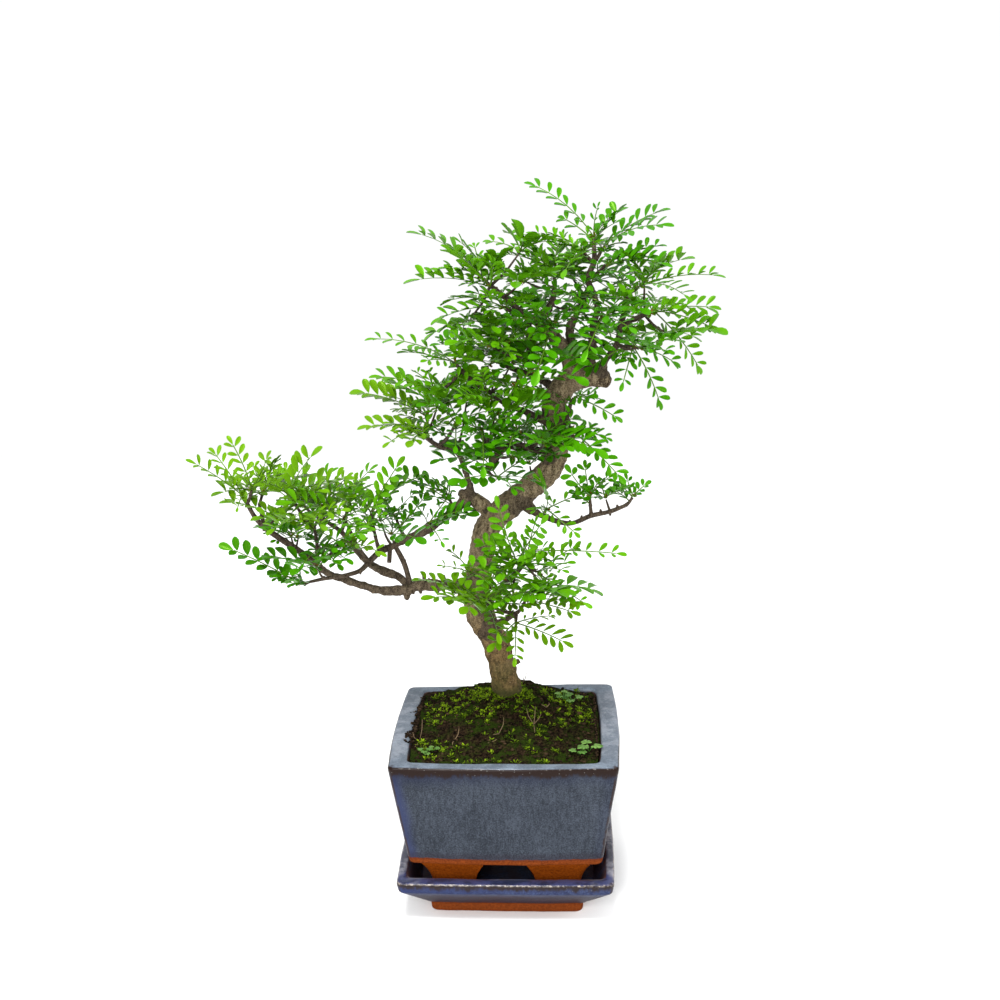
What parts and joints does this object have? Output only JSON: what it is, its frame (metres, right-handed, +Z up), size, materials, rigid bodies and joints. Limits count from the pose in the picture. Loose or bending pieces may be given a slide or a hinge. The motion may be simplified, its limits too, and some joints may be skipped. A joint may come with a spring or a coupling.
{
  "type": "japanese pepper bonsai",
  "caption": "Small bonsai with a curved trunk, side boughs and feathery compound leaves, growing from mossy soil in a squared glazed pot that stands on its saucer.",
  "frame": {"origin": "centre of the saucer's flat underside, on the surface that it stands on", "axes": "+Z up along the tree, +X to the right as seen from the front, -Y towards the viewer"},
  "size_m": [0.3362, 0.1721, 0.4822],
  "materials": {
    "saucer_glaze": "gloss",
    "pot_glaze": "gloss",
    "mesh_plastic": "matte",
    "soil": "matte",
    "bark": "matte",
    "old_leaf": "satin",
    "leaf": "satin",
    "young_leaf": "satin"
  },
  "bodies": {
    "root": {"saucer": "saucer_glaze", "pot": "pot_glaze", "drain_mesh_left": "mesh_plastic", "drain_mesh_right": "mesh_plastic", "soil": "soil", "tree": "bark", "spray_01_low_bough": "young_leaf", "spray_02_low_bough": "young_leaf", "spray_03_pad_tip": "leaf", "spray_04_pad_riser": "leaf", "spray_05_low_fork": "old_leaf", "spray_06_pad_riser": "leaf", "spray_07_low_fork": "old_leaf", "spray_08_mid_bough": "old_leaf", "spray_09_mid_bough": "old_leaf", "spray_10_mid_bough": "old_leaf", "spray_11_pad_riser": "old_leaf", "spray_12_low_bough": "leaf", "spray_13_pad_riser": "leaf", "spray_14_mid_bough": "leaf", "spray_15_low_fork": "old_leaf", "spray_16_mid_bough": "old_leaf", "spray_17_mid_bough": "old_leaf", "spray_18_mid_riser": "young_leaf", "spray_19_mid_riser": "young_leaf", "spray_20_side_bough": "old_leaf", "spray_21_side_bough": "leaf", "spray_22_mid_riser": "old_leaf", "spray_23_elbow": "old_leaf", "spray_24_side_bough": "old_leaf", "spray_25_elbow": "old_leaf", "spray_26_elbow": "old_leaf", "spray_27_back_bough": "old_leaf", "spray_28_elbow": "old_leaf", "spray_29_right_twig": "old_leaf", "spray_30_right_twig": "old_leaf", "spray_31_right_bough": "old_leaf", "spray_32_right_bough": "old_leaf", "spray_33_right_bough": "old_leaf", "spray_34_low_shoot": "old_leaf", "spray_35_low_shoot": "old_leaf", "spray_36_low_shoot": "old_leaf", "spray_37_base_shoot": "leaf", "spray_38_base_shoot": "young_leaf", "spray_39_low_shoot": "old_leaf", "spray_40_base_shoot": "young_leaf", "spray_41_leader": "old_leaf", "spray_42_leader": "old_leaf", "spray_43_leader": "old_leaf", "spray_44_leader": "leaf", "spray_45_crown_reach": "leaf", "spray_46_crown_reach": "leaf", "spray_47_crown_reach": "leaf", "spray_48_crown_left": "old_leaf", "spray_49_crown_right": "leaf", "spray_50_right_arm": "old_leaf", "spray_51_crown_right": "old_leaf", "spray_52_crown_back": "old_leaf", "spray_53_crown_left": "old_leaf", "spray_54_leader": "old_leaf"}
  },
  "joints": []
}
